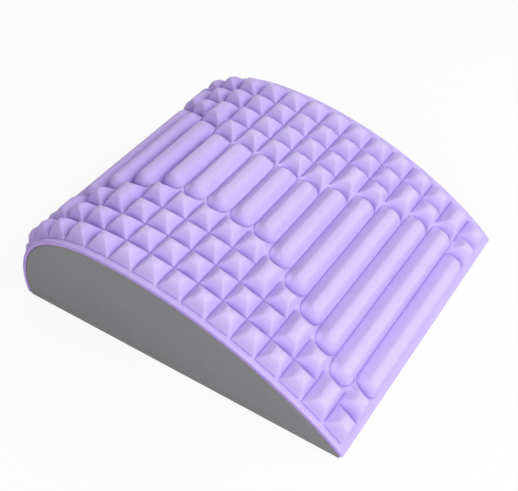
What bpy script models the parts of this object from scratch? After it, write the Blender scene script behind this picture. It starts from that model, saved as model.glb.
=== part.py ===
"""Back stretcher pillow: a grey foam wedge with an arched top, and a one-piece moulded lavender mat of pyramids
and finger ribs glued over the arch and down the tall nose. Metres, +Z up, tall nose towards +Y, thin end
towards -Y, flat underside on z = 0."""

import math

import bmesh
import bpy
import numpy as np
from mathutils import Vector
from mathutils.geometry import delaunay_2d_cdt

# Width of the whole pillow
WIDTH = 0.3125

# Side outline of the foam core: two smooth stretches, foot of the nose to crown and crown to thin edge
CORE_LENGTH = 0.3479
FOOT_TO_CROWN = 0.0962
CROWN_HEIGHT = 0.0989
THIN_EDGE = 0.0015
FOOT_LEAN = 0.0047
FOOT_RISE = 0.0182
SHOULDER_STAND_OUT = 0.0057
CROWN_TO_SLOPE = 0.1369
THIN_EDGE_RUN = 0.0130
THIN_EDGE_DROP = 0.0177

# Layers over the core
GLUE_THICKNESS = 0.0003
LAYER_GAP = 0.0003
MAT_BASE = 0.0035
MAT_OFF_FLOOR = 0.0005

# Relief of the mat: smooth strips round its edge, and rows of cells between them
SIDE_STRIP = 0.0065
NOSE_STRIP = 0.0077
THIN_STRIP = 0.0064
NOSE_WRAP = 0.1285
ROWS_ON_NOSE = 5
ROWS_ON_SLOPE = 12
CELL_ACROSS = 0.026
PYRAMID_HEIGHT = 0.0108
RIB_HEIGHT = 0.0092
SADDLE_HEIGHT = 0.0024

# Hourglass of the ribs, in cells: how far in from each side a rib starts
RIB_START_LEAST = 1.5
RIB_START_MOST = 4.0
RIB_START_STEP = 0.5
ROWS_TO_WIDEST_RIB = 7
SHORTEST_RIB = 1.5

# Flanks of the relief: plane up to a shoulder at this share of the way in, then gentler by this much
PYRAMID_SHOULDER = 0.6
PYRAMID_CREST_SLOPE = 0.35
RIB_SHOULDER = 0.65
RIB_CREST_SLOPE = 0.3

# How finely the solids are cut
OUTLINE_STEPS = 600
STEPS_PER_ROW = 4
ARC_STEPS = 6
LAST_CELL_STEPS = 4
RIB_RINGS = (0.32, 0.42)
CELL_RINGS = (0.3, 0.43)
SADDLE_REACH = 0.3
SHARPEST_SMOOTH_EDGE = math.radians(32)

HALF = 0.5
LAVENDER = (0.56, 0.46, 0.86, 1.0)
CORE_GREY = (0.26, 0.26, 0.27, 1.0)
GLUE_CLEAR = (0.72, 0.70, 0.66, 1.0)


def clear_scene():
    for obj in list(bpy.data.objects):
        bpy.data.objects.remove(obj, do_unlink=True)


def foam_material(name, colour, roughness):
    material = bpy.data.materials.new(name)
    material.use_nodes = True
    shader = material.node_tree.nodes["Principled BSDF"]
    shader.inputs["Base Color"].default_value = colour
    shader.inputs["Roughness"].default_value = roughness
    shader.inputs["Metallic"].default_value = 0.0
    return material


def bezier(points, steps):
    """Points and tangents along one cubic stretch."""
    t = np.linspace(0.0, 1.0, steps)[:, None]
    a, b, c, d = (np.array(point) for point in points)
    place = (1 - t) ** 3 * a + 3 * (1 - t) ** 2 * t * b + 3 * (1 - t) * t * t * c + t**3 * d
    tangent = (1 - t) ** 2 * (b - a) + 2 * (1 - t) * t * (c - b) + t * t * (d - c)
    return place, tangent / np.hypot(*tangent.T)[:, None]


class Arch:
    """The core's upper outline, with along measured from the foot of the nose towards the thin edge. A place on
    it is named by its distance along the mat's groove level."""

    def __init__(self):
        foot = (0.0, 0.0)
        foot_handle = (-FOOT_LEAN, FOOT_RISE)
        crown = (FOOT_TO_CROWN, CROWN_HEIGHT)
        nose_handle = (-SHOULDER_STAND_OUT, CROWN_HEIGHT)
        slope_handle = (FOOT_TO_CROWN + CROWN_TO_SLOPE, CROWN_HEIGHT)
        tip = (CORE_LENGTH, THIN_EDGE)
        tip_handle = (CORE_LENGTH - THIN_EDGE_RUN, THIN_EDGE + THIN_EDGE_DROP)
        nose, nose_way = bezier((foot, foot_handle, nose_handle, crown), OUTLINE_STEPS)
        slope, slope_way = bezier((crown, slope_handle, tip_handle, tip), OUTLINE_STEPS)
        self.core = np.vstack([nose, slope[1:]])
        way = np.vstack([nose_way, slope_way[1:]])
        self.out = np.column_stack([-way[:, 1], way[:, 0]])
        groove = self.core + self.out * GROOVE_LEVEL
        self.run = np.concatenate([[0.0], np.cumsum(np.hypot(*np.diff(groove, axis=0).T))])
        self.start = float(np.interp(MAT_OFF_FLOOR, groove[:OUTLINE_STEPS, 1], self.run[:OUTLINE_STEPS]))
        self.end = float(self.run[-1])

    def at(self, distance, height):
        """(along, z) at a distance along the groove level and a height over the core's surface."""
        core = [np.interp(distance, self.run, self.core[:, axis]) for axis in (0, 1)]
        out = [np.interp(distance, self.run, self.out[:, axis]) for axis in (0, 1)]
        length = math.hypot(*out)
        return core[0] + out[0] / length * height, core[1] + out[1] / length * height


MAT_UNDERSIDE = LAYER_GAP + GLUE_THICKNESS + LAYER_GAP
GROOVE_LEVEL = MAT_UNDERSIDE + MAT_BASE
ARCH = Arch()
PANEL_CELLS = (WIDTH - 2 * SIDE_STRIP) / CELL_ACROSS
STRIP_CELLS = SIDE_STRIP / CELL_ACROSS
FIRST_ROW = -ROWS_ON_NOSE
LAST_ROW = ROWS_ON_SLOPE - 1
MIDDLE_ROW = (FIRST_ROW + LAST_ROW) / 2


def distance_of(v):
    """Distance along the arch of row coordinate v: 0 at the row line above the nose, negative down the nose."""
    nose_rows = NOSE_WRAP - NOSE_STRIP - ARCH.start
    slope_rows = ARCH.end - THIN_STRIP - NOSE_WRAP
    if v < -ROWS_ON_NOSE:
        return ARCH.start + NOSE_STRIP * (v + ROWS_ON_NOSE + 1)
    if v < 0:
        return NOSE_WRAP + nose_rows * v / ROWS_ON_NOSE
    if v <= ROWS_ON_SLOPE:
        return NOSE_WRAP + slope_rows * v / ROWS_ON_SLOPE
    return ARCH.end + THIN_STRIP * (v - ROWS_ON_SLOPE - 1)


def rib_start(row):
    """Cells from the edge crease to the rounded end of this row's rib."""
    from_waist = abs(abs(row - MIDDLE_ROW) - ROWS_TO_WIDEST_RIB)
    wanted = min(RIB_START_MOST, RIB_START_LEAST + RIB_START_STEP * from_waist)
    room = (PANEL_CELLS - SHORTEST_RIB) / 2
    fitting = math.floor(room / RIB_START_STEP) * RIB_START_STEP
    return max(1.0, min(wanted, fitting))


def has_row(row):
    return FIRST_ROW <= row <= LAST_ROW


def row_crease_end(line):
    """Cells from the edge crease to where the crease between two rows runs out, beside their ribs."""
    return min(rib_start(row) for row in (line - 1, line) if has_row(row))


def last_column_crease(row):
    return math.floor(rib_start(row)) - 1


def from_rib_core(u, v, row):
    """Distance from the line inside a rib that its rounded outline is half a cell away from."""
    start = rib_start(row) + HALF
    return math.hypot(max(start - u, 0.0), v - row - HALF)


def saddle_height(u, v):
    """The raised saddle between the ends of two neighbouring ribs, past the end of the crease."""
    line = round(v)
    if not FIRST_ROW < line <= LAST_ROW:
        return 0.0
    middle = row_crease_end(line) + HALF / 2
    away = math.hypot(u - middle, v - line)
    return SADDLE_HEIGHT * max(0.0, 1 - (away / SADDLE_REACH) ** 2)


def pyramid_rise(share):
    """Rise of a pyramid's flank, 0 to 1, at a share of the way from its crease to its apex."""
    past = max(share - PYRAMID_SHOULDER, 0.0)
    top = PYRAMID_SHOULDER + PYRAMID_CREST_SLOPE * (1 - PYRAMID_SHOULDER)
    return (share - past * (1 - PYRAMID_CREST_SLOPE)) / top


def rib_rise(share):
    """Rise of a rib's flank, 0 to 1, whose slope past the shoulder fades to nothing at the crest."""
    past = max(share - RIB_SHOULDER, 0.0)
    width = 1 - RIB_SHOULDER
    crest = RIB_CREST_SLOPE * (past - past * past / (2 * width))
    return (share - past + crest) / (RIB_SHOULDER + RIB_CREST_SLOPE * width / 2)


def relief_height(u, v):
    """Height over the groove level at u cells from the near edge crease and row coordinate v."""
    u = min(u, PANEL_CELLS - u)
    if u <= 0 or v <= FIRST_ROW or v >= LAST_ROW + 1:
        return 0.0
    row = min(math.floor(v), LAST_ROW)
    inside = HALF - from_rib_core(u, v, row)
    if inside > 0:
        return max(RIB_HEIGHT * rib_rise(min(1.0, inside / HALF)), saddle_height(u, v))
    near = [u, -inside]
    for line in (row, row + 1):
        whole = line in (FIRST_ROW, LAST_ROW + 1)
        beyond = 0.0 if whole else max(u - row_crease_end(line), 0.0)
        near.append(math.hypot(beyond, v - line))
        beside = line - 1 if line == row else line
        if has_row(beside):
            near.append(max(from_rib_core(u, v, beside) - HALF, 0.0))
    crease = min(round(u), last_column_crease(row))
    near.append(abs(u - crease))
    return max(PYRAMID_HEIGHT * pyramid_rise(min(1.0, min(near) / HALF)), saddle_height(u, v))


class Plan:
    """Points and lines of the mat laid flat, in cells across and rows along, before it is triangulated."""

    def __init__(self):
        self.points = []
        self.index = {}
        self.lines = []

    def point(self, u, v):
        key = (round(u, 5), round(v, 5))
        if key not in self.index:
            self.index[key] = len(self.points)
            self.points.append(Vector(key))
        return self.index[key]

    def line(self, places):
        ends = [self.point(u, v) for u, v in places]
        self.lines.extend((a, b) for a, b in zip(ends, ends[1:]) if a != b)

    def mirrored(self, places):
        self.line(places)
        self.line([(PANEL_CELLS - u, v) for u, v in places])

    def loose(self, u, v):
        self.point(u, v)
        self.point(PANEL_CELLS - u, v)


def along_samples():
    """Row coordinates of every cross-section, the same on all three layers so that they stay parallel."""
    inner = np.arange(FIRST_ROW * STEPS_PER_ROW, (LAST_ROW + 1) * STEPS_PER_ROW + 1) / STEPS_PER_ROW
    return [FIRST_ROW - 1.0, *inner, LAST_ROW + 2.0]


def rib_loop(row, inset):
    """Outline of a rib, drawn in by inset, as (u, v) places."""
    start = rib_start(row) + HALF
    middle = row + HALF
    radius = HALF - inset
    turns = [math.pi * (0.5 + step / ARC_STEPS) for step in range(ARC_STEPS + 1)]
    near = [(start + radius * math.cos(turn), middle + radius * math.sin(turn)) for turn in turns]
    far = [(PANEL_CELLS - u, v) for u, v in reversed(near)]
    return [*near, *far, near[0]]


def plan_cell(plan, left, row):
    """One whole pyramid: nested squares and the ridges from its corners to its apex."""
    apex = (left + HALF, row + HALF)
    corners = [(-1, -1), (1, -1), (1, 1), (-1, 1)]
    reaches = [HALF, *(HALF - ring for ring in CELL_RINGS)]
    for reach in reaches[1:]:
        square = [(apex[0] + x * reach, apex[1] + y * reach) for x, y in corners]
        plan.mirrored([*square, square[0]])
    for x, y in corners:
        ridge = [(apex[0] + x * reach, apex[1] + y * reach) for reach in reaches]
        plan.mirrored([*ridge, apex])


def ridge_beside_rib(start, row, inset):
    """Where the ridge between a row crease and a rib's rounded end is inset from both: a parabola."""
    return start + HALF - math.sqrt(2 * inset), row + inset


def plan_last_cell(plan, left, row):
    """The pyramid beside a rib's rounded end: nested outlines, and the ridges that join their corners."""
    start = rib_start(row)
    middle = row + HALF
    for inset in CELL_RINGS:
        turn_u, turn_v = ridge_beside_rib(start, row, inset)
        radius = HALF + inset
        turn = math.atan2(turn_v - middle, turn_u - start - HALF)
        turns = [turn - (2 * math.pi + 2 * turn) * step / LAST_CELL_STEPS for step in range(LAST_CELL_STEPS + 1)]
        arc = [(start + HALF + radius * math.cos(a), middle + radius * math.sin(a)) for a in turns]
        plan.mirrored([(left + inset, row + inset), *arc, (left + inset, row + 1 - inset), (left + inset, row + inset)])
    insets = [0.0, *CELL_RINGS, HALF]
    for flip in (False, True):
        corner_ridge = [(left + inset, row + inset) for inset in insets]
        rib_ridge = [ridge_beside_rib(start, row, inset) for inset in (HALF, *reversed(CELL_RINGS))]
        ridge = [*corner_ridge, *rib_ridge]
        plan.mirrored([(u, 2 * middle - v) for u, v in ridge] if flip else ridge)


def plan_row(plan, row):
    creases = last_column_crease(row)
    for column in range(0, creases + 1):
        side = [(column, row + step / STEPS_PER_ROW) for step in range(STEPS_PER_ROW + 1)]
        plan.mirrored(side)
    for column in range(creases):
        plan_cell(plan, column, row)
    plan_last_cell(plan, creases, row)
    for inset in (0.0, *RIB_RINGS):
        plan.line(rib_loop(row, inset))
    start = rib_start(row) + HALF
    plan.line([(start, row + HALF), (PANEL_CELLS - start, row + HALF)])


def flat_plan():
    plan = Plan()
    sections = along_samples()
    left, right = -STRIP_CELLS, PANEL_CELLS + STRIP_CELLS
    for u in (left, right):
        plan.line([(u, v) for v in sections])
    for v in (sections[0], sections[-1]):
        plan.line([(left, v), (right, v)])
    for line in range(FIRST_ROW, LAST_ROW + 2):
        if line in (FIRST_ROW, LAST_ROW + 1):
            plan.line([(0.0, line), (PANEL_CELLS, line)])
            continue
        end = row_crease_end(line)
        plan.mirrored([*((float(u), line) for u in range(math.ceil(end))), (end, line)])
        plan.loose(end + HALF / 2, line)
    for row in range(FIRST_ROW, LAST_ROW + 1):
        plan_row(plan, row)
    return plan


def place(u, v, height):
    """World place, before centring, of a point at a height over the core's surface."""
    along, z = ARCH.at(distance_of(v), height)
    return Vector(((u - PANEL_CELLS / 2) * CELL_ACROSS, -along, z))


def build_object(name, mesh, material, smooth):
    obj = bpy.data.objects.new(name, mesh)
    bpy.context.scene.collection.objects.link(obj)
    mesh.materials.append(material)
    if smooth:
        mesh.shade_smooth()
        mesh.set_sharp_from_angle(angle=SHARPEST_SMOOTH_EDGE)
    return obj


def layer_object(name, low, high, material):
    """A closed strip over the arch between two heights over the core, full width."""
    bm = bmesh.new()
    sides = [-STRIP_CELLS, PANEL_CELLS + STRIP_CELLS]
    rings = []
    for v in along_samples():
        corners = [(sides[0], low), (sides[1], low), (sides[1], high), (sides[0], high)]
        rings.append([bm.verts.new(place(u, v, height)) for u, height in corners])
    for ring, after in zip(rings, rings[1:]):
        for corner in range(4):
            following = (corner + 1) % 4
            bm.faces.new((ring[corner], ring[following], after[following], after[corner]))
    bm.faces.new(rings[0][::-1])
    bm.faces.new(rings[-1])
    return finish_mesh(bm, name, material, False)


def finish_mesh(bm, name, material, smooth):
    bmesh.ops.recalc_face_normals(bm, faces=bm.faces)
    if bm.calc_volume(signed=True) < 0:
        bmesh.ops.reverse_faces(bm, faces=bm.faces)
    mesh = bpy.data.meshes.new(name)
    bm.to_mesh(mesh)
    bm.free()
    return build_object(name, mesh, material, smooth)


def make_core(material):
    """The foam wedge: the arch outline closed along the floor, as deep as the pillow is wide."""
    bm = bmesh.new()
    arch = [place(-STRIP_CELLS, v, 0.0) for v in along_samples()]
    foot = Vector((arch[0].x, 0.0, 0.0))
    outline = [foot, *arch, Vector((foot.x, -CORE_LENGTH, 0.0))]
    near = [bm.verts.new(corner) for corner in outline]
    far = [bm.verts.new(corner + Vector((WIDTH, 0.0, 0.0))) for corner in outline]
    count = len(outline)
    for corner in range(count):
        following = (corner + 1) % count
        bm.faces.new((near[corner], near[following], far[following], far[corner]))
    bm.faces.new(near[::-1])
    bm.faces.new(far)
    return finish_mesh(bm, "foam_core", material, False)


def make_mat(material):
    """The moulded mat: the relief on top, a plain underside parallel to the core, and walls between them."""
    plan = flat_plan()
    flat, _, faces, *_ = delaunay_2d_cdt(plan.points, plan.lines, [], 0, 1e-6)
    bm = bmesh.new()
    top = {}
    for number, (u, v) in enumerate(flat):
        height = GROOVE_LEVEL + relief_height(u, v)
        top[number] = bm.verts.new(place(u, v, height))
    for face in faces:
        bm.faces.new([top[number] for number in face])
    at_place = {(round(u, 4), round(v, 4)): top[number] for number, (u, v) in enumerate(flat)}
    sections = along_samples()
    sides = [round(-STRIP_CELLS, 4), round(PANEL_CELLS + STRIP_CELLS, 4)]
    under = [[bm.verts.new(place(u, v, MAT_UNDERSIDE)) for u in sides] for v in sections]
    over = [[at_place[u, round(v, 4)] for u in sides] for v in sections]
    for step in range(len(sections) - 1):
        bm.faces.new((under[step][0], under[step][1], under[step + 1][1], under[step + 1][0]))
        for side in (0, 1):
            bm.faces.new((under[step][side], under[step + 1][side], over[step + 1][side], over[step][side]))
    for end in (0, -1):
        bm.faces.new((under[end][0], over[end][0], over[end][1], under[end][1]))
    return finish_mesh(bm, "relief_mat", material, True)


def centre_on_origin(objects):
    """Slides the pieces along Y so that the middle of the whole length is at the origin."""
    ys = [vertex.co.y for obj in objects for vertex in obj.data.vertices]
    middle = (min(ys) + max(ys)) / 2
    for obj in objects:
        obj.location.y = -middle


def main():
    clear_scene()
    core = make_core(foam_material("core_foam_grey", CORE_GREY, 0.9))
    glue = layer_object(
        "adhesive_film", LAYER_GAP, LAYER_GAP + GLUE_THICKNESS, foam_material("glue_clear", GLUE_CLEAR, 0.4)
    )
    mat = make_mat(foam_material("mat_foam_lavender", LAVENDER, 0.6))
    centre_on_origin([core, glue, mat])


main()
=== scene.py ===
"""Back stretcher pillow: a grey closed-cell foam wedge under a one-piece lavender foam mat that is moulded
with pyramids and finger ribs. Laid out as an add-on. In metres, +Z up, the tall nose towards +Y and the thin
end towards -Y."""

import math

import bmesh
import bpy
import numpy as np
from bpy.props import FloatProperty, FloatVectorProperty, IntProperty, PointerProperty
from mathutils import Matrix, Vector
from mathutils.geometry import delaunay_2d_cdt


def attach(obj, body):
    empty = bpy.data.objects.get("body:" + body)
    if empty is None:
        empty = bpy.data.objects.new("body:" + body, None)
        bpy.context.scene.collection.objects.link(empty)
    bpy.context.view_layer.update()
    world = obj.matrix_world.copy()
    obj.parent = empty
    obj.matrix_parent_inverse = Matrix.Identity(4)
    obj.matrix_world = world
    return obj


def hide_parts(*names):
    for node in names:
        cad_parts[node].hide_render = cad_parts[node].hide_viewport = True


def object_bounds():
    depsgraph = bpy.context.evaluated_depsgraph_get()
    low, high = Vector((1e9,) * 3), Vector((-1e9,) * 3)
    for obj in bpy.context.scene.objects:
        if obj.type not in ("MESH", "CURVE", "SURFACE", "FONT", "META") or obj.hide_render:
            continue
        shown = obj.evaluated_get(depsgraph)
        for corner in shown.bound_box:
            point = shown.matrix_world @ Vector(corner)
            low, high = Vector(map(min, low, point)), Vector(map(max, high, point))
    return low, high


bl_info = {
    "name": "Back Stretcher Pillow",
    "version": (1, 0, 0),
    "blender": (4, 5, 0),
    "location": "3D View > Sidebar > Pillow",
    "description": "Foam wedge with an arched top and a moulded massage mat over it",
    "category": "Add Mesh",
}

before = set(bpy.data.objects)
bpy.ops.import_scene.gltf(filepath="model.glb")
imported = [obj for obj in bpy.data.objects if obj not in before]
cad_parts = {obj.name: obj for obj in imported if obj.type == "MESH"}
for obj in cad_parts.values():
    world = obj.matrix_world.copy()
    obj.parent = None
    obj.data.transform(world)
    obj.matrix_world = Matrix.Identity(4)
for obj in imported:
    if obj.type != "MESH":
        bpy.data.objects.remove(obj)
CAD_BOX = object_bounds()
HALF = 0.5
QUARTER_TURN = math.pi / 2
WHITE = (1.0, 1.0, 1.0, 1.0)

# Places across half a cell, closest together beside its groove
HALF_CELL_STEPS = (0.0, 0.03, 0.07, 0.12, 0.17, 0.215, 0.25, 0.285, 0.32, 0.36, 0.4, 0.45, 0.5)

# Longest step along a rib, in cells, and along an edge, in metres
PLAIN_STEP = 0.25
EDGE_STEP = 0.0025

# Number of steps round a rib's end, round a corner, round an edge, up a flank and along the arch
ARC_STEPS = 34
CORNER_STEPS = 8
ROUND_STEPS = 4
FLANK_STEPS = 400
ARCH_POINTS = 4000

# Turn from a rib's straight side at which the points round its end begin, in radians
ARC_TANGENT_TURN = 0.2

# How the core's outline is read: the digits to which two corners are one, the height of the middle that they
# are ordered round, as a share of the pillow's, and the first share of the arch, which holds the nose edge
CORNER_DIGITS = 6
MIDDLE_RISE = 0.1
NOSE_SHARE = 0.25

# Places in the plan are one when they agree to these digits, or lie within this distance in metres
PLACE_DIGITS = 7
MERGE_DISTANCE = 1e-7

# A distance in cells beyond everything in the relief, and one too small to matter
FAR_AWAY = 10.0
LINE_SNAP = 1e-6

# Reach in cells of a groove's fine mesh and of the cut and painted shade in it, of the hollow and its
# painted shade beside it and of the hollow's fading ends, and of the web where four pyramids meet
GROOVE_REACH = 0.03
GROOVE_SHADE = 0.02
HOLLOW_REACH = 0.1
HOLLOW_END = 0.28
CORNER_REACH = 0.02

# Where hollows fade beside the border, in cells, where the border's own groove fades at a row's end, and the
# rows over which the nose's relief and its painted shade turn into the slope's
BORDER_FADE = 0.12
BORDER_END = 0.2
NOSE_FADE = 3.0

# Place and reach of the web beside a rib's end, in cells, and the share of its reach where grooves begin
SADDLE_CENTRE = 0.25
SADDLE_REACH = (0.3, 0.22)
SADDLE_OPEN = 0.75

# Height over which the web runs into the pyramids, in metres
SADDLE_BLEND = 0.0012

# Half the length of a flank's shoulder, as a share of the flank
SHOULDER = 0.06

# Share of painted shade, a deeper lavender, along the creases, in the hollows, over the nose and on the
# walls
GROOVE_PAINTED_SHADE = 0.6
HOLLOW_PAINTED_SHADE = 0.4
NOSE_PAINTED_SHADE = 0.25
WALL_PAINTED_SHADE = 0.5

# Edges that turn more than this many degrees stay sharp
CORE_SHARP_ANGLE = 40.0
MAT_SHARP_ANGLE = 60.0

# Spans of a noise's values that are stretched to the whole of an effect, for a strong and a softer one
NOISE_MIDDLE = (0.35, 0.65)
NOISE_SPREAD = (0.3, 0.7)

# Patterns in the moulded skin: scales per metre, and depths of the bumps in metres
MOTTLE_SCALE = 18.0
SATIN_SCALE = 60.0
WANDER_SCALE = 95.0
WANDER_DEPTH = 0.0006
DIMPLE_SCALE = 520.0
DIMPLE_DEPTH = 0.00006
GRAIN_SCALE = 1500.0
GRAIN_DEPTH = 0.00008

# Heights between which the skin is paler, partly rubbed wear and partly painted light, as shares of a
# pyramid's, and how far it pales at each
LIT_AND_RUBBED_HEIGHTS = (0.35, 1.0)
LIT_AND_RUBBED_SHARES = (0.0, 0.85)

# Patterns in the cut foam, in the same units
UNEVEN_SCALE = 22.0
MATTE_SCALE = 140.0
LARGE_CELL_SCALE = 330.0
LARGE_CELL_DEPTH = 0.0001
FINE_CELL_SCALE = 900.0
FINE_CELL_DEPTH = 0.00012

# Distances from a foam cell's middle between which its darker pore fades, and how dark it is at each
FINE_PORE = (0.05, 0.45)
FINE_PORE_SHARES = (0.5, 0.0)
LARGE_PORE = (0.04, 0.16)
LARGE_PORE_SHARES = (0.55, 0.0)

# How far the cut foam darkens in broad patches
UNEVEN_SHARES = (0.0, 0.12)

# Patterns in the adhesive, in the same units
CLOUD_SCALE = 70.0
STREAK_SCALE = 240.0
RIPPLE_SCALE = 400.0
RIPPLE_DEPTH = 0.0001

# Least and greatest roughness of the skin, the cut foam and the adhesive
SKIN_ROUGHNESS = (0.56, 0.68)
CUT_ROUGHNESS = (0.82, 0.94)
GLUE_ROUGHNESS = (0.3, 0.5)

# Colour of the floor under its white share
FLOOR_PAPER = (0.9, 0.9, 0.9, 1.0)

# Azimuths of the soft lights, in degrees anticlockwise from +X
LEFT = 180.0
LEFT_FRONT = 225.0
FRONT = 270.0
RIGHT_FRONT = 315.0
BACK = 45.0


def settings():
    return bpy.context.scene.pillow


def length(name, description, default, precision=4):
    return FloatProperty(
        name=name,
        description=description,
        default=default,
        unit="LENGTH",
        subtype="DISTANCE",
        precision=precision,
    )


def number(name, description, default):
    return FloatProperty(name=name, description=description, default=default)


def count(name, description, default):
    return IntProperty(name=name, description=description, default=default, min=1)


def colour(name, description, default):
    return FloatVectorProperty(
        name=name, description=description, default=default, subtype="COLOR", size=3, min=0.0, max=1.0
    )


def spot(name, description, default):
    return FloatVectorProperty(
        name=name, description=description, default=default, subtype="TRANSLATION", size=3
    )


def angle(name, description, degrees):
    default = math.radians(degrees)
    return FloatProperty(
        name=name, description=description, default=default, unit="ROTATION", subtype="ANGLE"
    )


def power(name, description, default):
    return FloatProperty(name=name, description=description, default=default, unit="POWER")


class CoreSizes(bpy.types.PropertyGroup):
    """Finish of the foam wedge, whose outline is the frame's."""

    edge_round: length("Edge round", "Radius of the soft edges round the two cut sides", 0.0009)


class MatSizes(bpy.types.PropertyGroup):
    """Layout and relief of the moulded mat."""

    layer_gap: length("Layer gap", "Clearance between two layers", 0.0003)
    glue_thickness: length("Glue thickness", "Thickness of the adhesive film under the mat", 0.0003)
    base_thickness: length("Base thickness", "Thickness of the mat at its grooves", 0.0035)
    floor_gap: length("Floor gap", "Height of the mat's nose edge over the floor", 0.0005)
    side_strip: length("Side strip", "Width of the smooth strip along each side", 0.0065)
    nose_strip: length("Nose strip", "Length of the smooth strip at the foot of the nose", 0.0077)
    thin_strip: length("Thin strip", "Length of the smooth strip at the thin end", 0.0064)
    nose_wrap: length("Nose wrap", "Distance from the arch's foot to the row line above the nose", 0.1285)
    cell_across: length("Cell across", "Width of one pyramid", 0.0260)
    rows_on_nose: count("Rows on nose", "Rows of cells below the row line above the nose", 5)
    rows_on_slope: count("Rows on slope", "Rows of cells from that line to the thin end", 12)
    pyramid_height: length("Pyramid height", "Height of a pyramid over the grooves", 0.0108)
    rib_height: length("Rib height", "Height of a rib over the grooves", 0.0092)
    saddle_height: length("Saddle height", "Height of the web beside a rib's rounded end", 0.0024)
    corner_fill: length("Corner fill", "Height of the small web where four pyramids meet", 0.0005)
    groove_cut: length("Groove cut", "Depth of the fine cut at the bottom of every groove", 0.0008)
    hollow_depth: length("Hollow depth", "Depth of the hollow halfway along the foot of each side", 0.0007)
    nose_hollow: number("Nose hollow", "Times that the hollows are deeper on the nose", 2.0)
    nose_swell: number("Nose swell", "Times that the relief is taller on the nose", 1.05)
    rib_start_least: number("Nearest rib start", "Cells from the edge groove to the longest ribs", 1.5)
    rib_start_most: number("Farthest rib start", "Cells from the edge groove to the shortest ribs", 4.0)
    rib_start_step: number("Rib start step", "Cells by which each rib starts further in than the last", 0.5)
    rows_to_widest_rib: count("Rows to widest rib", "Rows from the middle row to the longest ribs", 7)
    pyramid_plane: number("Pyramid plane", "Share of a pyramid's flank below its shoulder", 0.6)
    pyramid_crest: number("Pyramid crest", "Slope above the shoulder, as a share of that below it", 0.35)
    pyramid_tip: number("Pyramid tip", "Share of a pyramid's flank over which its tip rounds off", 0.2)
    rib_plane: number("Rib plane", "Share of a rib's flank below its shoulder", 0.65)
    rib_crest: number("Rib crest", "Slope above the shoulder, as a share of that below it", 0.3)
    rib_end_square: number("Rib end square", "2 ends a rib in a half circle, and more squares it", 2.4)
    ridge_sharpness: number("Ridge sharpness", "Higher gives crisper ridges on the pyramids", 12.0)
    edge_round: length("Edge round", "Radius along the mat's upper edge", 0.0008)
    lower_edge_round: length("Lower edge round", "Radius along the mat's lower edge", 0.0003)
    corner_round: length("Corner round", "Radius of the mat's corners in plan", 0.0018)


class FoamColours(bpy.types.PropertyGroup):
    """Colours of the three layers."""

    lavender: colour("Lavender", "Moulded skin of the mat", (0.56, 0.465, 0.85))
    lavender_mottle: colour("Lavender mottle", "Slightly deeper patches of the mat", (0.53, 0.435, 0.83))
    # Paler tips and crests: partly rubbed wear, partly painted light on the upper parts
    lavender_lit_rubbed_crown: colour("Lavender crown", "Tips and crests, rubbed paler", (0.63, 0.545, 0.88))
    # Painted shade: the deeper lavender laid along creases, in hollows, over the nose and on the walls
    lavender_painted_shade: colour("Lavender groove", "Mat at the bottom of its grooves", (0.34, 0.19, 0.62))
    core_grey: colour("Core grey", "Cut closed-cell foam", (0.238, 0.238, 0.247))
    core_pore: colour("Core pore", "Open pores in the cut foam", (0.173, 0.173, 0.182))
    glue: colour("Glue", "Clear adhesive, which takes the colour of the foams beside it", (0.36, 0.32, 0.44))
    glue_aged: colour("Aged glue", "Adhesive where it has darkened with age", (0.31, 0.28, 0.32))


class StageSettings(bpy.types.PropertyGroup):
    """Camera, light and floor."""

    camera_spot: spot("Camera spot", "Where the camera stands", (-0.5359, -0.3536, 0.6451))
    camera_azimuth: angle("Camera azimuth", "Way the camera looks, anticlockwise from +Y", -56.521)
    camera_elevation: angle("Camera elevation", "How far the camera looks down", 43.904)
    camera_roll: angle("Camera roll", "Roll about the line of sight", -0.559)
    lens: FloatProperty(name="Lens", description="Focal length", default=61.84, unit="CAMERA")
    floor_reach: length("Floor reach", "Half the side of the floor", 6.0, 2)
    floor_white: number("Floor white", "Share of plain white that the camera sees in the floor", 0.88)
    softbox_size: length("Softbox size", "Side of each soft light", 1.3, 2)
    softbox_away: length("Softbox distance", "Distance of each soft light from the floor's middle", 2.1, 2)
    bank_height: angle("Bank height", "Elevation of the bank of soft lights round the thin end", 40.0)
    left_power: power("Left power", "Soft light straight to the left", 14.7)
    left_front_power: power("Left front power", "Soft light between the left and the thin end", 11.8)
    front_power: power("Front power", "Soft light straight past the thin end", 19.5)
    right_front_power: power("Right front power", "Soft light between the thin end and the right", 14.4)
    back_height: angle("Back height", "Elevation of the low soft light behind", 22.0)
    back_power: power("Back power", "Low soft light past the tall nose and to the right", 15.0)
    sky: number("Sky", "Strength of the even light from all round", 0.05)


class PillowSettings(bpy.types.PropertyGroup):
    """Everything that a user of the pillow would change."""

    core: PointerProperty(type=CoreSizes)
    mat: PointerProperty(type=MatSizes)
    colours: PointerProperty(type=FoamColours)
    stage: PointerProperty(type=StageSettings)


def smoothstep(value):
    value = np.clip(value, 0.0, 1.0)
    return value * value * (3 - 2 * value)


def flank(height, plane, crest, rounding):
    """Shares of the way from groove to crest and the height at each: plane, a short shoulder, then gentler
    up to where the crest rounds off."""
    share = np.linspace(0.0, 1.0, FLANK_STEPS + 1)
    past = smoothstep((share - plane) / (2 * SHOULDER) + HALF)
    slope = 1 - past + past * crest * np.minimum(1.0, (1 - share) / rounding)
    rise = np.concatenate([[0.0], np.cumsum(slope[1:] + slope[:-1])])
    return share, height * rise / rise[-1]


def bell(distance):
    """1 at no distance, falling off smoothly to about a third at a distance of 1."""
    return np.exp(-(distance**2))


def shade(distance):
    """1 at the bottom of a groove, falling off beside it."""
    return bell(distance / GROOVE_SHADE)


def smooth_max(one, other, blend):
    """The larger of two heights, with the join between them rounded over a height of about blend."""
    overlap = np.maximum(blend - np.abs(one - other), 0.0) / blend
    return np.maximum(one, other) + overlap * overlap * blend / 4


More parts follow.
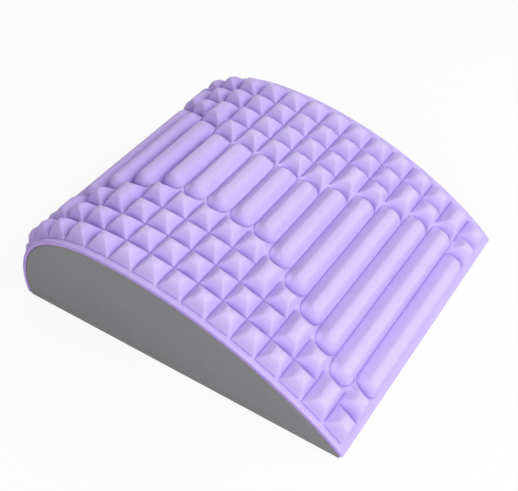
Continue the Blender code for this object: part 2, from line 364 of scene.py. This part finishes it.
class Arch:
    """The core's upper outline, read from the frame, as a smooth curve from the foot of the nose to the thin
    edge. A place on it is named by its distance along the mat's groove level."""

    def __init__(self, mat):
        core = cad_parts["foam_core"]
        places = [(-v.co.y, v.co.z) for v in core.data.vertices if v.co.x < 0]
        corners = {(round(along, CORNER_DIGITS), round(z, CORNER_DIGITS)) for along, z in places}
        middle = sum(corner[0] for corner in corners) / len(corners)
        self.middle = (middle, CAD_BOX[1].z * MIDDLE_RISE)
        order = sorted(corners, key=self.bearing)
        self.edge_foot = order[-1]
        self.core, self.out = self.smooth(np.array(order[:-1]))
        self.underside = mat.layer_gap + mat.glue_thickness + mat.layer_gap
        self.groove = self.underside + mat.base_thickness
        level = self.core + self.out * self.groove
        self.run = np.concatenate([[0.0], np.cumsum(np.hypot(*np.diff(level, axis=0).T))])
        nose = slice(0, int(ARCH_POINTS * NOSE_SHARE))
        self.start = float(np.interp(mat.floor_gap, level[nose, 1], self.run[nose]))
        self.end = float(self.run[-1])

    def bearing(self, corner):
        """Angle round the middle of the outline, from straight down past the nose, crown and thin edge."""
        across, up = corner[0] - self.middle[0], corner[1] - self.middle[1]
        return math.atan2(-across, -up) % math.tau

    def smooth(self, points):
        """Even points along a smooth curve through the corners, and the outward direction at each."""
        chords = np.hypot(*np.diff(points, axis=0).T)
        knots = np.concatenate([[0.0], np.cumsum(chords)])
        slopes = np.diff(points, axis=0) / chords[:, None]
        share = (chords[:-1] / (chords[:-1] + chords[1:]))[:, None]
        inner = slopes[:-1] * (1 - share) + slopes[1:] * share
        ways = np.vstack([2 * slopes[0] - inner[0], inner, 2 * slopes[-1] - inner[-1]])
        at = np.linspace(0.0, knots[-1], ARCH_POINTS)
        index = np.clip(np.searchsorted(knots, at, side="right") - 1, 0, len(chords) - 1)
        width = chords[index][:, None]
        t = (at - knots[index])[:, None] / width
        a, b = points[index], points[index + 1]
        da, db = ways[index] * width, ways[index + 1] * width
        leaving = (1 + 2 * t) * (1 - t) ** 2 * a + t * (1 - t) ** 2 * da
        curve = leaving + t * t * (3 - 2 * t) * b + t * t * (t - 1) * db
        way = np.gradient(curve, axis=0)
        way /= np.hypot(*way.T)[:, None]
        return curve, np.column_stack([-way[:, 1], way[:, 0]])

    def at(self, along, height):
        """World Y and Z at distances along the groove level and heights over the core."""
        core = [np.interp(along, self.run, self.core[:, axis]) for axis in (0, 1)]
        out = [np.interp(along, self.run, self.out[:, axis]) for axis in (0, 1)]
        size = np.hypot(*out)
        return -(core[0] + out[0] / size * height), core[1] + out[1] / size * height

    def world(self, across, along, height):
        y, z = self.at(np.asarray(along), height)
        return np.column_stack([across, y, z])


class Relief:
    """The moulded pattern, with u in cells across from the near edge groove and v in rows along the arch."""

    def __init__(self, mat, arch):
        self.mat = mat
        self.cell = mat.cell_across
        self.panel = (CAD_BOX[1].x - CAD_BOX[0].x - 2 * mat.side_strip) / mat.cell_across
        self.first = -mat.rows_on_nose
        self.last = mat.rows_on_slope - 1
        self.rows = range(self.first, self.last + 1)
        from_middle = np.abs(np.array(self.rows) - (self.first + self.last) / 2)
        wanted = mat.rib_start_least + mat.rib_start_step * np.abs(from_middle - mat.rows_to_widest_rib)
        self.starts = np.minimum(mat.rib_start_most, wanted)
        self.ends = np.minimum(np.append(self.starts, np.inf), np.append(np.inf, self.starts))
        self.row_marks = [self.first - 1, self.first, 0, self.last + 1, self.last + 2]
        nose_end, thin_end = arch.start + mat.nose_strip, arch.end - mat.thin_strip
        self.along_marks = [arch.start, nose_end, mat.nose_wrap, thin_end, arch.end]
        self.pyramid_flank = flank(
            mat.pyramid_height, mat.pyramid_plane, mat.pyramid_crest, mat.pyramid_tip
        )
        self.rib_flank = flank(mat.rib_height, mat.rib_plane, mat.rib_crest, 1 - mat.rib_plane)

    def across(self, u):
        return (u - self.panel / 2) * self.cell

    def along(self, v):
        return np.interp(v, self.row_marks, self.along_marks)

    def start_of(self, row):
        """Cells from the edge groove to the rounded end of this row's rib."""
        return self.starts[np.clip(row, self.first, self.last) - self.first]

    def end_of(self, line):
        """Cells from the edge groove to where the groove between two rows runs out, beside their ribs."""
        return self.ends[np.clip(line, self.first, self.last + 1) - self.first]

    def last_column(self, row):
        """The last groove between two columns before this row's rib."""
        return np.floor(self.start_of(row)) - 1

    def from_rib(self, u, v, row):
        """Distance outside the rounded outline of this row's rib, negative within it."""
        past_end = np.maximum(self.start_of(row) + HALF - u, 0.0)
        away = self.rounded(past_end, v - row - HALF) - HALF
        return np.where((row < self.first) | (row > self.last), np.inf, away)

    def rounded(self, one, other):
        """The length of two sides together, where places at one length lie on a slightly squared circle."""
        exponent = self.mat.rib_end_square
        return (np.abs(one) ** exponent + np.abs(other) ** exponent) ** (1 / exponent)

    def column_grooves(self, u, row):
        """Distances to the grooves between columns on either side of a place."""
        last = self.last_column(row)
        left = np.clip(np.floor(u), 0.0, last)
        return [np.maximum(u - left, 0.0), np.where(left < last, left + 1 - u, np.inf)]

    def row_grooves(self, u, v, row):
        """Distances to the grooves between rows on either side of a place, which run out beside the ribs."""
        near = []
        for line in (row, row + 1):
            past = np.where((line == self.first) | (line > self.last), 0.0, u - self.end_of(line))
            near.append(np.hypot(np.maximum(past, 0.0), v - line))
        return near

    def rib_outlines(self, u, v, row):
        """Distances to this row's rib and the two ribs beside it."""
        return [np.maximum(self.from_rib(u, v, which), 0.0) for which in (row, row - 1, row + 1)]

    def saddle(self, u, v):
        """How far a place is from the web beside a rib's rounded end, where 1 is its rim."""
        line = np.rint(v).astype(int)
        between = (line > self.first) & (line <= self.last)
        middle = np.where(between, self.end_of(line), 0.0) + SADDLE_CENTRE
        away = np.hypot((u - middle) / SADDLE_REACH[0], (v - line) / SADDLE_REACH[1])
        return np.where(between, np.minimum(away, FAR_AWAY), FAR_AWAY)

    def corner(self, u, v, row):
        """Distance to the nearest corner where four pyramids meet."""
        column, line = np.rint(u), np.rint(v)
        between_columns = (column > 0) & (column <= self.last_column(row))
        between_rows = (line > self.first) & (line <= self.last)
        return np.where(between_columns & between_rows, np.hypot(u - column, v - line), FAR_AWAY)

    def pyramid(self, near):
        """Height of a pyramid: soft ridges come from a high power of how close each groove is."""
        exponent = self.mat.ridge_sharpness
        close = sum(np.maximum(1 - distance / HALF, 0.0) ** exponent for distance in near) ** (1 / exponent)
        return np.interp(1 - close, *self.pyramid_flank)

    def raised(self, near, inside, corner, saddle):
        """Height of the pyramids, the ribs and the webs between them."""
        web = self.mat.saddle_height * (1 - saddle**2)
        fill = self.mat.corner_fill * (1 - (corner / CORNER_REACH) ** 2)
        outside = smooth_max(self.pyramid(near), web, SADDLE_BLEND)
        outside = smooth_max(outside, fill, self.mat.corner_fill)
        crest = np.interp(inside / HALF, *self.rib_flank)
        on_web = crest + np.maximum(web, 0.0) * (1 - crest / self.mat.rib_height)
        return np.where(inside > 0, on_web, outside)

    def at(self, u, v):
        """Height over the groove level, share of painted shade (a deeper lavender), and nearness to a crest.
        """
        within = (u > 0) & (u < self.panel) & (v > self.first) & (v < self.last + 1)
        u = np.minimum(u, self.panel - u)
        row = np.clip(np.floor(v), self.first, self.last).astype(int)
        inside = -self.from_rib(u, v, row)
        columns, rows = self.column_grooves(u, row), self.row_grooves(u, v, row)
        ribs = self.rib_outlines(u, v, row)
        corner, saddle = self.corner(u, v, row), self.saddle(u, v)
        height = self.raised([*columns, *rows, *ribs], inside, corner, saddle)
        open_corner = smoothstep((corner - CORNER_REACH * HALF) / CORNER_REACH)
        open_saddle = smoothstep((saddle - SADDLE_OPEN) / (1 - SADDLE_OPEN))
        ribs[0] = np.abs(inside)
        near_row = np.min(rows, axis=0)
        # The groove mask cuts each crease and also paints shade along it
        groove = np.maximum(shade(np.min([*columns, *ribs], axis=0)), shade(near_row) * open_saddle)
        ends = np.minimum(v - self.first, self.last + 1 - v)
        beside = np.clip(1 + u / GROOVE_REACH, 0.0, 1.0)
        groove = groove * open_corner * smoothstep(ends / GROOVE_REACH) * beside * self.border_fade(u, v)
        crown = np.clip(height / self.mat.pyramid_height, 0.0, 1.0) * within
        nose = 1 - smoothstep(v / NOSE_FADE)
        hollow = self.hollow(u, row, columns, near_row, ribs, nose) * open_saddle
        hollow = hollow * smoothstep(np.minimum(u, ends) / BORDER_FADE)
        hollow = hollow * (1 + (self.mat.nose_hollow - 1) * nose)
        height = height * (1 + (self.mat.nose_swell - 1) * nose)
        height = height * within - self.mat.groove_cut * groove - self.mat.hollow_depth * hollow
        # Painted shade: a deeper lavender along each crease and in the hollows beside them
        painted_shade = np.maximum(GROOVE_PAINTED_SHADE * groove, HOLLOW_PAINTED_SHADE * hollow)
        # Painted shade over the whole nose as well, fading out along the slope
        return height, painted_shade + (1 - painted_shade) * NOSE_PAINTED_SHADE * nose * within, crown

    def hollow(self, u, row, columns, near_row, ribs, nose):
        """How near a place is to the middle of a hollow: along the sides of columns and rib ends, and on the
        nose along the rows too. It sets both the hollow's depth and its painted shade."""
        side = bell(np.min(columns, axis=0) / HOLLOW_REACH)
        for which, away in zip((row, row - 1, row + 1), ribs):
            side = np.maximum(side, bell(away / HOLLOW_REACH) * self.rib_hollow(u, which, nose))
        lasting = np.min([*columns, *ribs], axis=0)
        across = bell(near_row / HOLLOW_REACH) * (1 - bell(lasting / HOLLOW_END)) * nose
        return np.maximum(side * (1 - bell(near_row / HOLLOW_END)), across)

    def border_fade(self, u, v):
        """1, but falling to 0 beside the border where a row comes to its end."""
        past_line = (v + LINE_SNAP) % 1.0
        return 1 - bell(u / HOLLOW_REACH) * (1 - smoothstep((1 - past_line) / BORDER_END))

    def rib_hollow(self, u, row, nose):
        """Share of the hollow round a rib: whole at its rounded end, and on the nose along its sides too."""
        end_share = np.clip((self.start_of(row) + HALF - u) / HALF, 0.0, 1.0)
        return np.maximum(end_share, nose)


class Plan:
    """The mat laid flat, in metres across and along it: places, and the lines that the mesh follows."""

    def __init__(self, relief):
        self.relief = relief
        self.places = []
        self.index = {}
        self.lines = []

    def add(self, across, along):
        key = (round(float(across), PLACE_DIGITS), round(float(along), PLACE_DIGITS))
        if key not in self.index:
            self.index[key] = len(self.places)
            self.places.append(key)
        return self.index[key]

    def cell_point(self, u, v):
        """A place given in cells and rows, and its mirror image on the far side."""
        along = self.relief.along(v)
        across = self.relief.across(u)
        return self.add(across, along), self.add(-across, along)

    def join(self, numbers, closed=False):
        ends = [*numbers, numbers[0]] if closed else numbers
        self.lines.extend((a, b) for a, b in zip(ends, ends[1:]) if a != b)

    def cell_line(self, path):
        for side in zip(*(self.cell_point(u, v) for u, v in path)):
            self.join(side)


def cell_steps():
    """Places across one whole cell, closest together beside its grooves."""
    return [*HALF_CELL_STEPS, *(1 - step for step in reversed(HALF_CELL_STEPS[:-1]))]


def across_steps(relief, rows):
    """Places from the edge groove to the panel's middle, fine up to the straight part of the rows' ribs."""
    cells = max(math.ceil(relief.start_of(row) + HALF) for row in rows)
    fine = [cell + step for cell in range(cells) for step in cell_steps()[:-1]]
    middle = relief.panel / 2
    plain = np.linspace(cells, middle, max(2, math.ceil((middle - cells) / PLAIN_STEP) + 1))
    return [*fine, *plain]


def plan_row(plan, relief, row):
    """The grooves and fill of one row: columns of pyramids, then the rounded end of its rib."""
    start = relief.start_of(row) + HALF
    along = [row + step for step in cell_steps()]
    plan.cell_line([(-GROOVE_REACH, v) for v in along])
    for column in range(int(relief.last_column(row)) + 1):
        plan.cell_line([(column, v) for v in along])
    for v in (along[1], along[-2]):
        plan.cell_line([(u, v) for u in across_steps(relief, [row]) if u >= start])
    turns = np.linspace(ARC_TANGENT_TURN, math.pi - ARC_TANGENT_TURN, ARC_STEPS)
    ways = [(math.sin(turn), math.cos(turn)) for turn in turns]
    ways = [(across / relief.rounded(across, up), up / relief.rounded(across, up)) for across, up in ways]
    arc = [(start - HALF * across, row + HALF - HALF * up) for across, up in ways]
    plan.cell_line([(start, row), *arc, (start, row + 1)])
    for radius in (HALF - GROOVE_REACH, HALF + GROOVE_REACH):
        for across, up in ways:
            u, v = start - radius * across, row + HALF - radius * up
            if row + GROOVE_REACH * HALF < v < row + 1 - GROOVE_REACH * HALF:
                plan.cell_point(u, v)
    for u in across_steps(relief, [row]):
        for v in along[1:-1]:
            beside_arc = u < start and abs(relief.from_rib(u, v, row)) < GROOVE_REACH + GROOVE_SHADE * HALF
            if not beside_arc:
                plan.cell_point(u, v)


def rounded_outline(arch, inset, corner_round):
    """The mat's outline, drawn in by inset: from the nose along the +X side and back along the -X side."""
    reach = CAD_BOX[1].x - corner_round
    low, high = arch.start + corner_round, arch.end - corner_round
    radius = corner_round - inset
    side = np.linspace(low, high, round((high - low) / EDGE_STEP))
    turns = np.linspace(0.0, QUARTER_TURN, CORNER_STEPS + 1)
    nose = [(reach + radius * math.sin(turn), low - radius * math.cos(turn)) for turn in turns]
    thin = [(reach + radius * math.cos(turn), high + radius * math.sin(turn)) for turn in turns]
    right = [*nose, *((reach + radius, along) for along in side[1:-1]), *thin]
    return [*right, *((-across, along) for across, along in reversed(right))]


def flat_plan(arch, relief, mat):
    """Every place and line of the mat's upper face, and the numbers of its outline's places."""
    plan = Plan(relief)
    outline = [plan.add(*point) for point in rounded_outline(arch, mat.edge_round, mat.corner_round)]
    plan.join(outline, closed=True)
    for line in range(relief.first, relief.last + 2):
        beside = [row for row in (line - 1, line) if row in relief.rows]
        plan.cell_line([(u, line) for u in across_steps(relief, beside)])
    for row in relief.rows:
        plan_row(plan, relief, row)
    return plan, outline


def mat_mesh(arch, relief, mat):
    """The mat as one closed mesh: relief on top, rounded edges, walls, and a plain underside along the arch.
    Each of its points has its share of painted shade, a deeper lavender, and its nearness to a crest, which
    the finish paints paler."""
    plan, outline = flat_plan(arch, relief, mat)
    places = [Vector(place) for place in plan.places]
    flat, _, faces, sources, *_ = delaunay_2d_cdt(places, plan.lines, [], 0, MERGE_DISTANCE)
    index_of = {source: index for index, found in enumerate(sources) for source in found}
    across, along = np.array(flat).T
    u = across / relief.cell + relief.panel / 2
    v = np.interp(along, relief.along_marks, relief.row_marks)
    height, groove, crown = relief.at(u, v)
    points = [arch.world(across, along, arch.groove + height)]
    faces = [tuple(face) for face in faces]
    ring = [index_of[place] for place in outline]
    total = len(flat)
    for inset, level in edge_steps(arch, mat):
        path = np.array(rounded_outline(arch, inset, mat.corner_round))
        points.append(arch.world(path[:, 0], path[:, 1], level))
        following = list(range(total, total + len(path)))
        faces.extend(walls(ring, following))
        ring = following
        total += len(path)
    side = len(ring) // 2
    for step in range(side - 1):
        faces.append((ring[step], ring[step + 1], ring[-2 - step], ring[-1 - step]))
    points = np.vstack(points)
    # Painted shade on the walls round the mat's edge
    wall = np.full(len(points) - len(flat), WALL_PAINTED_SHADE)
    return points, faces, np.concatenate([groove, wall]), np.concatenate([crown, np.zeros_like(wall)])


def edge_steps(arch, mat):
    """(inset, height over the core) of each ring round the upper edge, down the wall and under."""
    turns = [QUARTER_TURN * step / ROUND_STEPS for step in range(1, ROUND_STEPS + 1)]
    radius = mat.edge_round
    upper = [(radius * (1 - math.sin(turn)), arch.groove - radius * (1 - math.cos(turn))) for turn in turns]
    lower = mat.lower_edge_round
    return [*upper, (0.0, arch.underside + lower), (lower, arch.underside)]


def walls(ring, following):
    """Quads between two closed rings of as many places."""
    return list(zip(ring, [*ring[1:], ring[0]], [*following[1:], following[0]], following))


def placed(name, data):
    """A new object with this data, in the scene."""
    obj = bpy.data.objects.new(name, data)
    bpy.context.scene.collection.objects.link(obj)
    return obj


def mesh_object(name, points, faces, material, sharp_angle, attributes=None):
    """One closed piece that faces outwards, shaded smooth but for its sharp edges."""
    mesh = bpy.data.meshes.new(name)
    mesh.from_pydata([tuple(point) for point in points], [], faces)
    bm = bmesh.new()
    bm.from_mesh(mesh)
    bmesh.ops.recalc_face_normals(bm, faces=bm.faces)
    if bm.calc_volume(signed=True) < 0:
        bmesh.ops.reverse_faces(bm, faces=bm.faces)
    bm.to_mesh(mesh)
    bm.free()
    for attribute_name, values in (attributes or {}).items():
        attribute = mesh.attributes.new(attribute_name, "FLOAT", "POINT")
        attribute.data.foreach_set("value", values.astype(np.float32))
    mesh.shade_smooth()
    mesh.set_sharp_from_angle(angle=math.radians(sharp_angle))
    mesh.materials.append(material)
    return placed(name, mesh)


def inset_outline(points, amount):
    """A closed convex outline drawn in by amount, its corners kept on the lines that halve them."""
    before = points - np.roll(points, 1, axis=0)
    after = np.roll(before, -1, axis=0)
    ways = [way / np.hypot(*way.T)[:, None] for way in (before, after)]
    normals = [np.column_stack([way[:, 1], -way[:, 0]]) for way in ways]
    meet = (normals[0] + normals[1]) / (1 + np.sum(normals[0] * normals[1], axis=1))[:, None]
    return points - meet * amount * outline_turn(points)


def outline_turn(points):
    """1 for an outline that runs anticlockwise, and -1 for one that runs clockwise."""
    following = np.roll(points, -1, axis=0)
    area = np.sum(points[:, 0] * following[:, 1] - points[:, 1] * following[:, 0])
    return math.copysign(1.0, area)


def core_mesh(arch, core):
    """The foam wedge: the frame's outline across the full width, with soft edges round the two cut sides."""
    steps = round(arch.run[-1] / EDGE_STEP)
    picked = np.linspace(0, ARCH_POINTS - 1, steps).astype(int)
    outline = np.vstack([arch.core[picked], [arch.edge_foot]])
    half_width = CAD_BOX[1].x
    points, faces, rings = [], [], []
    turns = [QUARTER_TURN * step / ROUND_STEPS for step in range(ROUND_STEPS + 1)]
    radius = core.edge_round
    profile = [(radius * (1 - math.cos(turn)), radius * (1 - math.sin(turn))) for turn in turns]
    for side, stops in ((-1, reversed(profile)), (1, profile)):
        for inset, back in stops:
            ring = inset_outline(outline, inset)
            rings.append(list(range(len(points), len(points) + len(ring))))
            points.extend((side * (half_width - back), -along, z) for along, z in ring)
    for ring, following in zip(rings, rings[1:]):
        faces.extend(walls(ring, following))
    faces.append(tuple(reversed(rings[0])))
    faces.append(tuple(rings[-1]))
    return points, faces


class Finish:
    """A material's nodes, added one at a time and joined to the sockets that they are given."""

    def __init__(self, name):
        self.material = bpy.data.materials.new(name)
        self.material.use_nodes = True
        self.tree = self.material.node_tree
        self.shader = self.tree.nodes["Principled BSDF"]
        self.place = self.add("ShaderNodeTexCoord").outputs["Object"]

    def set(self, node, **inputs):
        for name, value in inputs.items():
            socket = node.inputs[name.replace("_", " ")]
            if isinstance(value, bpy.types.NodeSocket):
                self.tree.links.new(value, socket)
            else:
                socket.default_value = value
        return node

    def add(self, kind, **inputs):
        return self.set(self.tree.nodes.new(kind), **inputs)

    def noise(self, scale, detail=2.0, roughness=0.5):
        node = self.add("ShaderNodeTexNoise", Vector=self.place, Scale=scale)
        self.set(node, Detail=detail, Roughness=roughness)
        return node.outputs["Fac"]

    def pores(self, scale):
        """Distance from the middle of the nearest foam cell."""
        return self.add("ShaderNodeTexVoronoi", Vector=self.place, Scale=scale).outputs["Distance"]

    def ranged(self, value, span, to=(0.0, 1.0)):
        """The value stretched from one span to another, and held at the ends."""
        node = self.add("ShaderNodeMapRange", Value=value, From_Min=span[0], From_Max=span[1])
        self.set(node, To_Min=to[0], To_Max=to[1])
        return node.outputs["Result"]

    def attribute(self, name):
        node = self.add("ShaderNodeAttribute")
        node.attribute_name = name
        return node.outputs["Fac"]

    def mixed(self, share, under, colour):
        """A colour laid by this share over another one, which may be the result of other nodes."""
        if not isinstance(under, bpy.types.NodeSocket):
            under = (*under, 1.0)
        node = self.add("ShaderNodeMixRGB", Fac=share, Color1=under, Color2=(*colour, 1.0))
        return node.outputs["Color"]

    def bumped(self, height, depth, under=None):
        """A bump of this depth in metres, over another one where it is given."""
        node = self.add("ShaderNodeBump", Height=height, Distance=depth)
        if under:
            self.set(node, Normal=under)
        return node.outputs["Normal"]


def mat_finish(colours):
    """Moulded foam skin: painted shade, a deeper lavender, in grooves, hollows, nose and walls; tips and
    crests paler, partly rubbed wear and partly painted light; a fine satin grain.
    """
    finish = Finish("lavender_moulded_foam")
    patches = finish.ranged(finish.noise(MOTTLE_SCALE, detail=4.0), NOISE_MIDDLE)
    skin = finish.mixed(patches, colours.lavender, colours.lavender_mottle)
    # Tips and crests painted paler by height: partly rubbed wear, partly painted light
    lit_and_rubbed = finish.ranged(finish.attribute("crown"), LIT_AND_RUBBED_HEIGHTS, LIT_AND_RUBBED_SHARES)
    skin = finish.mixed(lit_and_rubbed, skin, colours.lavender_lit_rubbed_crown)
    # Painted shade: the deeper lavender laid by the groove attribute
    skin = finish.mixed(finish.attribute("groove"), skin, colours.lavender_painted_shade)
    normal = finish.bumped(finish.noise(WANDER_SCALE), WANDER_DEPTH)
    normal = finish.bumped(finish.pores(DIMPLE_SCALE), DIMPLE_DEPTH, normal)
    normal = finish.bumped(finish.noise(GRAIN_SCALE, detail=3.0, roughness=0.6), GRAIN_DEPTH, normal)
    roughness = finish.ranged(finish.noise(SATIN_SCALE, detail=3.0), NOISE_SPREAD, SKIN_ROUGHNESS)
    finish.set(finish.shader, Base_Color=skin, Roughness=roughness, Normal=normal)
    finish.set(finish.shader, Specular_IOR_Level=0.16, Sheen_Weight=0.03, Sheen_Roughness=0.45)
    return finish.material


def core_finish(colours):
    """Cut closed-cell foam: tiny open cells with darker middles, and faint broad unevenness."""
    finish = Finish("grey_cut_foam")
    fine = finish.pores(FINE_CELL_SCALE)
    large = finish.pores(LARGE_CELL_SCALE)
    foam = colours.core_grey
    for darker in (
        finish.ranged(fine, FINE_PORE, FINE_PORE_SHARES),
        finish.ranged(large, LARGE_PORE, LARGE_PORE_SHARES),
        finish.ranged(finish.noise(UNEVEN_SCALE, detail=3.0), NOISE_MIDDLE, UNEVEN_SHARES),
    ):
        foam = finish.mixed(darker, foam, colours.core_pore)
    normal = finish.bumped(large, LARGE_CELL_DEPTH)
    normal = finish.bumped(fine, FINE_CELL_DEPTH, normal)
    roughness = finish.ranged(finish.noise(MATTE_SCALE), NOISE_SPREAD, CUT_ROUGHNESS)
    finish.set(finish.shader, Base_Color=foam, Roughness=roughness, Normal=normal)
    finish.set(finish.shader, Specular_IOR_Level=0.25)
    return finish.material


def glue_finish(colours):
    """Dried contact adhesive: cloudy, uneven, darker here and there."""
    finish = Finish("dried_contact_adhesive")
    cloud = finish.ranged(finish.noise(CLOUD_SCALE, detail=4.0), NOISE_MIDDLE)
    film = finish.mixed(cloud, colours.glue, colours.glue_aged)
    roughness = finish.ranged(finish.noise(STREAK_SCALE), NOISE_SPREAD, GLUE_ROUGHNESS)
    normal = finish.bumped(finish.noise(RIPPLE_SCALE, detail=3.0), RIPPLE_DEPTH)
    finish.set(finish.shader, Base_Color=film, Roughness=roughness, Normal=normal)
    finish.set(finish.shader, Specular_IOR_Level=0.45)
    return finish.material


def seen_white(tree, shader, white, share):
    """The shader mixed with a white one by this share, where the camera or a reflection looks at it."""
    path = tree.nodes.new("ShaderNodeLightPath")
    looks = path.outputs["Is Camera Ray"]
    for name in ("Is Glossy Ray", "Is Transmission Ray"):
        either = tree.nodes.new("ShaderNodeMath")
        either.operation = "MAXIMUM"
        tree.links.new(looks, either.inputs[0])
        tree.links.new(path.outputs[name], either.inputs[1])
        looks = either.outputs[0]
    amount = tree.nodes.new("ShaderNodeMath")
    amount.operation = "MULTIPLY"
    tree.links.new(looks, amount.inputs[0])
    amount.inputs[1].default_value = share
    mix = tree.nodes.new("ShaderNodeMixShader")
    for place, source in enumerate((amount, shader, white)):
        tree.links.new(source.outputs[0], mix.inputs[place])
    return mix.outputs[0]


def floor_finish(stage):
    """Plain white floor that shows the pillow's soft shadow."""
    material = bpy.data.materials.new("studio_floor")
    material.use_nodes = True
    tree = material.node_tree
    tree.nodes.clear()
    paper = tree.nodes.new("ShaderNodeBsdfDiffuse")
    paper.inputs["Color"].default_value = FLOOR_PAPER
    white = tree.nodes.new("ShaderNodeEmission")
    output = tree.nodes.new("ShaderNodeOutputMaterial")
    tree.links.new(seen_white(tree, paper, white, stage.floor_white), output.inputs["Surface"])
    return material


def set_sky(stage):
    """Even light from all round, which the camera sees as plain white."""
    world = bpy.data.worlds.new("studio_sky")
    bpy.context.scene.world = world
    world.use_nodes = True
    tree = world.node_tree
    tree.nodes.clear()
    light = tree.nodes.new("ShaderNodeBackground")
    light.inputs["Strength"].default_value = stage.sky
    light.inputs["Color"].default_value = WHITE
    white = tree.nodes.new("ShaderNodeBackground")
    white.inputs["Color"].default_value = WHITE
    output = tree.nodes.new("ShaderNodeOutputWorld")
    tree.links.new(seen_white(tree, light, white, share=1.0), output.inputs["Surface"])


class PILLOW_OT_foam_core(bpy.types.Operator):
    """Make the foam wedge from the frame's outline, with soft cut edges"""

    bl_idname = "pillow.foam_core"
    bl_label = "Foam Core"

    def execute(self, context):
        pillow = settings()
        points, faces = core_mesh(Arch(pillow.mat), pillow.core)
        finish = core_finish(pillow.colours)
        piece = mesh_object("foam_core_block", points, faces, finish, CORE_SHARP_ANGLE)
        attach(piece, "root")
        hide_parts("foam_core")
        return {"FINISHED"}


class PILLOW_OT_adhesive_film(bpy.types.Operator):
    """Give the frame's adhesive film its finish"""

    bl_idname = "pillow.adhesive_film"
    bl_label = "Adhesive Film"

    def execute(self, context):
        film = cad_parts["adhesive_film"]
        film.material_slots[0].material = glue_finish(settings().colours)
        return {"FINISHED"}


class PILLOW_OT_relief_mat(bpy.types.Operator):
    """Make the moulded mat of pyramids and finger ribs over the arch"""

    bl_idname = "pillow.relief_mat"
    bl_label = "Relief Mat"

    def execute(self, context):
        pillow = settings()
        arch = Arch(pillow.mat)
        relief = Relief(pillow.mat, arch)
        points, faces, groove, crown = mat_mesh(arch, relief, pillow.mat)
        finish = mat_finish(pillow.colours)
        # groove carries the painted shade; crown is the nearness to a crest, which paints tips and crests
        # paler
        attributes = {"groove": groove, "crown": crown}
        piece = mesh_object("moulded_mat", points, faces, finish, MAT_SHARP_ANGLE, attributes)
        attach(piece, "root")
        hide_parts("relief_mat")
        return {"FINISHED"}


class PILLOW_OT_stage(bpy.types.Operator):
    """Set the camera, the soft light and the white floor"""

    bl_idname = "pillow.stage"
    bl_label = "Stage"

    def execute(self, context):
        stage = settings().stage
        set_camera(stage)
        set_softboxes(stage)
        set_sky(stage)
        set_floor(stage)
        context.scene.view_settings.view_transform = "Standard"
        return {"FINISHED"}


def set_camera(stage):
    data = bpy.data.cameras.new("photo_camera")
    data.lens = stage.lens
    camera = placed("photo_camera", data)
    tilt = Matrix.Rotation(QUARTER_TURN - stage.camera_elevation, 4, "X")
    heading = Matrix.Rotation(stage.camera_azimuth, 4, "Z")
    roll = Matrix.Rotation(stage.camera_roll, 4, "Z")
    camera.matrix_world = Matrix.Translation(stage.camera_spot) @ heading @ tilt @ roll
    bpy.context.scene.camera = camera


def set_softbox(stage, name, azimuth, elevation, watts):
    """A square soft light that faces the floor's middle, from an azimuth in degrees."""
    data = bpy.data.lights.new(name, "AREA")
    data.size = stage.softbox_size
    data.energy = watts
    light = placed(name, data)
    turn = math.radians(azimuth)
    flat = stage.softbox_away * math.cos(elevation)
    up = stage.softbox_away * math.sin(elevation)
    light.location = (flat * math.cos(turn), flat * math.sin(turn), up)
    light.rotation_euler = (-light.location).to_track_quat("-Z", "Y").to_euler()


def set_softboxes(stage):
    set_softbox(stage, "left_softbox", LEFT, stage.bank_height, stage.left_power)
    set_softbox(stage, "left_front_softbox", LEFT_FRONT, stage.bank_height, stage.left_front_power)
    set_softbox(stage, "front_softbox", FRONT, stage.bank_height, stage.front_power)
    set_softbox(stage, "right_front_softbox", RIGHT_FRONT, stage.bank_height, stage.right_front_power)
    set_softbox(stage, "back_softbox", BACK, stage.back_height, stage.back_power)


def set_floor(stage):
    mesh = bpy.data.meshes.new("studio_floor")
    reach = stage.floor_reach
    corners = [(-reach, -reach, 0.0), (reach, -reach, 0.0), (reach, reach, 0.0), (-reach, reach, 0.0)]
    mesh.from_pydata(corners, [], [(0, 1, 2, 3)])
    mesh.materials.append(floor_finish(stage))
    floor = placed("studio_floor", mesh)


class PILLOW_PT_pieces(bpy.types.Panel):
    """Lists the pillow's pieces, in the order that they are made"""

    bl_idname = "PILLOW_PT_pieces"
    bl_label = "Back Stretcher Pillow"
    bl_space_type = "VIEW_3D"
    bl_region_type = "UI"
    bl_category = "Pillow"

    def draw(self, context):
        for operator in OPERATORS:
            self.layout.operator(operator.bl_idname)
        for group in ("core", "mat", "colours", "stage"):
            box = self.layout.box()
            owner = getattr(settings(), group)
            for name in owner.__annotations__:
                box.prop(owner, name)


OPERATORS = (PILLOW_OT_stage, PILLOW_OT_foam_core, PILLOW_OT_adhesive_film, PILLOW_OT_relief_mat)
CLASSES = (CoreSizes, MatSizes, FoamColours, StageSettings, PillowSettings, *OPERATORS, PILLOW_PT_pieces)


def register():
    for cls in CLASSES:
        bpy.utils.register_class(cls)
    bpy.types.Scene.pillow = PointerProperty(type=PillowSettings)


def unregister():
    del bpy.types.Scene.pillow
    for cls in reversed(CLASSES):
        bpy.utils.unregister_class(cls)


def main():
    register()
    bpy.ops.pillow.stage()
    bpy.ops.pillow.foam_core()
    bpy.ops.pillow.adhesive_film()
    bpy.ops.pillow.relief_mat()


if __name__ == "__main__":
    main()
